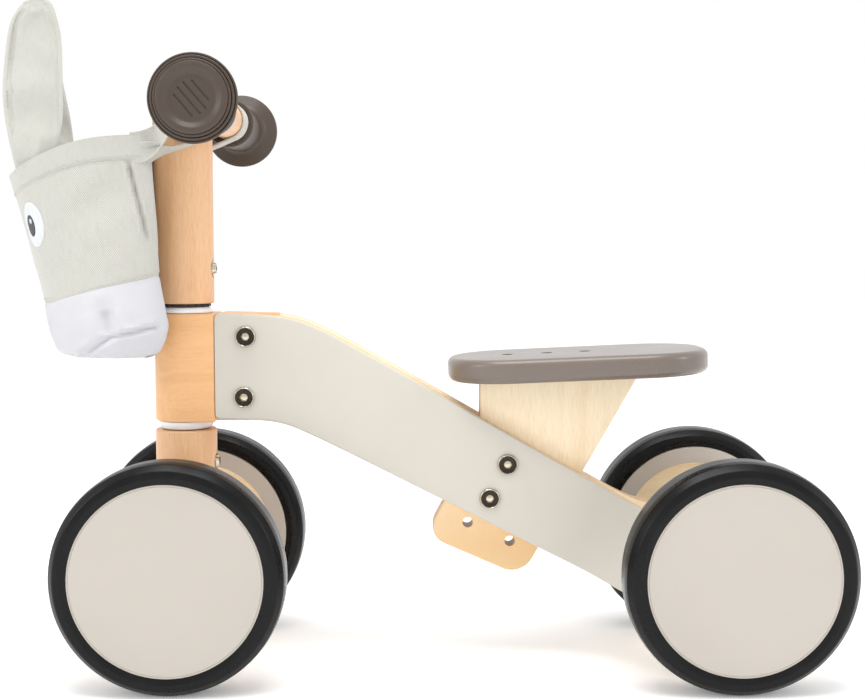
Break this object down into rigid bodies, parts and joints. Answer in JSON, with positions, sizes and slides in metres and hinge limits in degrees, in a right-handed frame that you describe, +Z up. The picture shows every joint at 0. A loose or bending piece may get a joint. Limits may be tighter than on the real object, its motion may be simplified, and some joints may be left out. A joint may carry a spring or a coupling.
{
  "type": "balance bike",
  "caption": "Low wooden four-wheel balance bike with bent side panels, a flat seat on a post, a turning handlebar and a fabric bag with ears in front.",
  "frame": {"origin": "on the floor, under the centre of the bounding box", "axes": "+X points forward (towards the bag), +Y to the rider's left, +Z up"},
  "size_m": [0.553, 0.242, 0.4436],
  "materials": {
    "beech": "clear satin lacquer",
    "birch": "clear satin lacquer, plywood edges",
    "cream_paint": "satin cream paint on wood",
    "wheel_wood": "wood with a painted cream ring",
    "taupe_paint": "satin taupe paint on wood",
    "white_plastic": "plain",
    "black_plastic": "plain",
    "black_nickel": "dark nickel plate",
    "steel": "zinc plate",
    "twill": "cotton twill",
    "grip_rubber": "soft matt rubber",
    "tyre": "matt foam rubber"
  },
  "bodies": {
    "frame": {"head_block": "beech", "upper_bush": "white_plastic", "lower_bush": "white_plastic", "left_side_panel": "cream_paint", "right_side_panel": "cream_paint", "head_upper_bolt": "black_nickel", "head_upper_nut": "black_nickel", "head_lower_bolt": "black_nickel", "head_lower_nut": "black_nickel", "post_upper_bolt": "black_nickel", "post_upper_nut": "black_nickel", "post_lower_bolt": "black_nickel", "post_lower_nut": "black_nickel", "seat_post": "birch", "seat": "taupe_paint", "seat_screw_1": "steel", "seat_screw_2": "steel", "seat_screw_3": "steel", "rear_axle": "steel", "rear_middle_spacer": "black_plastic", "rear_left_spacer": "black_plastic", "rear_right_spacer": "black_plastic", "rear_left_axle_nut": "steel", "rear_right_axle_nut": "steel"},
    "steering": {"upper_stem": "beech", "lower_stem": "beech", "steering_shaft": "steel", "steering_stop": "black_plastic", "upper_stem_bolt": "black_nickel", "lower_stem_bolt": "black_nickel", "handlebar": "beech", "handlebar_bolt": "black_nickel", "left_grip": "grip_rubber", "right_grip": "grip_rubber", "front_axle": "steel", "front_left_spacer": "black_plastic", "front_right_spacer": "black_plastic", "front_left_axle_nut": "steel", "front_right_axle_nut": "steel", "bag_body": "twill", "left_ear": "twill", "right_ear": "twill", "left_strap": "twill", "right_strap": "twill"},
    "front_left_wheel": {"front_left_tyre": "tyre", "front_left_wheel_disc": "wheel_wood", "front_left_wheel_cover": "cream_paint", "front_left_wheel_bearing": "white_plastic"},
    "front_right_wheel": {"front_right_tyre": "tyre", "front_right_wheel_disc": "wheel_wood", "front_right_wheel_cover": "cream_paint", "front_right_wheel_bearing": "white_plastic"},
    "rear_left_wheel": {"rear_left_tyre": "tyre", "rear_left_wheel_disc": "wheel_wood", "rear_left_wheel_cover": "cream_paint", "rear_left_wheel_bearing": "white_plastic"},
    "rear_right_wheel": {"rear_right_tyre": "tyre", "rear_right_wheel_disc": "wheel_wood", "rear_right_wheel_cover": "cream_paint", "rear_right_wheel_bearing": "white_plastic"}
  },
  "joints": [
    {"name": "steering_turn", "type": "hinge", "parent": "frame", "child": "steering", "pos_m": [0.1612, 0, 0.2], "axis": [0, 0, 1], "range_deg": [-45, 45]},
    {"name": "front_left_wheel_spin", "type": "hinge", "parent": "steering", "child": "front_left_wheel", "pos_m": [0.1612, 0.0745, 0.07472], "axis": [0, 1, 0], "continuous": true},
    {"name": "front_right_wheel_spin", "type": "hinge", "parent": "steering", "child": "front_right_wheel", "pos_m": [0.1612, -0.0745, 0.07472], "axis": [0, 1, 0], "continuous": true},
    {"name": "rear_left_wheel_spin", "type": "hinge", "parent": "frame", "child": "rear_left_wheel", "pos_m": [-0.2018, 0.0785, 0.07472], "axis": [0, 1, 0], "continuous": true},
    {"name": "rear_right_wheel_spin", "type": "hinge", "parent": "frame", "child": "rear_right_wheel", "pos_m": [-0.2018, -0.0785, 0.07472], "axis": [0, 1, 0], "continuous": true}
  ]
}
